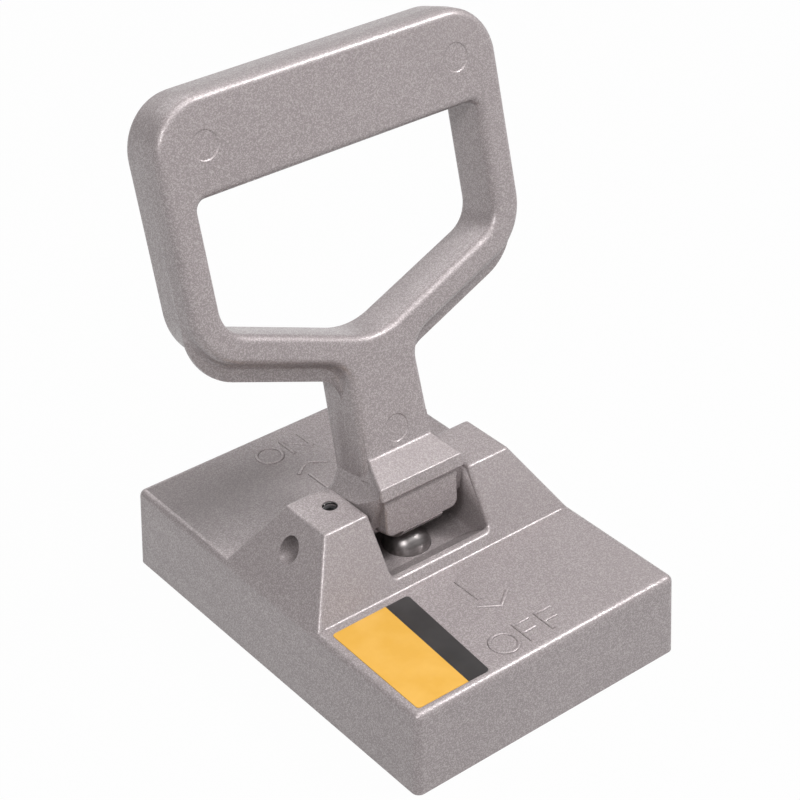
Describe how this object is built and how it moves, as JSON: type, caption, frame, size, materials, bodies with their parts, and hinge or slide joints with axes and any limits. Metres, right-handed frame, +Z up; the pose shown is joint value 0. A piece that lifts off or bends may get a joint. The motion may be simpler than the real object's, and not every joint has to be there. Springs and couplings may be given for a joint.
{
  "type": "permanent magnetic lifter",
  "caption": "Hand-held permanent magnetic lifter: a cast base holds magnet packs under a ridge, where a loop handle turns on a pin and its toe presses a release plunger out below.",
  "frame": {"origin": "middle of the working face under the base, at the height of that face", "axes": "+X along the pivot pin, +Y towards the ON end, +Z up from the working face"},
  "size_m": [0.1262, 0.15, 0.187],
  "materials": {
    "casting": "shot-blasted die casting, fine grain",
    "steel": "ground and polished",
    "black_steel": "blackened screws",
    "spring_steel": "drawn wire",
    "pole_steel": "ground working faces",
    "magnet": "dull grey blocks",
    "brass": "ground flush with the poles"
  },
  "bodies": {
    "base": {"base_housing": "casting", "pivot_pin": "steel", "pin_set_screw": "black_steel", "plunger_spring": "spring_steel", "pole_screws": "black_steel", "front_inner_pole": "pole_steel", "front_middle_pole": "pole_steel", "front_outer_pole": "pole_steel", "rear_inner_pole": "pole_steel", "rear_middle_pole": "pole_steel", "rear_outer_pole": "pole_steel", "front_inner_magnet": "magnet", "front_outer_magnet": "magnet", "rear_inner_magnet": "magnet", "rear_outer_magnet": "magnet", "front_inner_cover": "brass", "front_outer_cover": "brass", "rear_inner_cover": "brass", "rear_outer_cover": "brass"},
    "handle": {"lift_handle": "casting"},
    "plunger": {"release_plunger": "steel"}
  },
  "joints": [
    {"name": "handle_swing", "type": "hinge", "parent": "base", "child": "handle", "pos_m": [0, 0, 0.0428], "axis": [1, 0, 0], "range_deg": [0, 60]},
    {"name": "plunger_slide", "type": "slide", "parent": "base", "child": "plunger", "axis": [0, 0, -1], "range_m": [0, 0.00472], "stiffness_N_per_m": 150, "springref_m": -0.01, "deforming": ["plunger_spring"]}
  ],
  "couplings": [
    {"joint": "plunger_slide", "follows": "handle_swing", "m_per_rad": 0.0045}
  ]
}
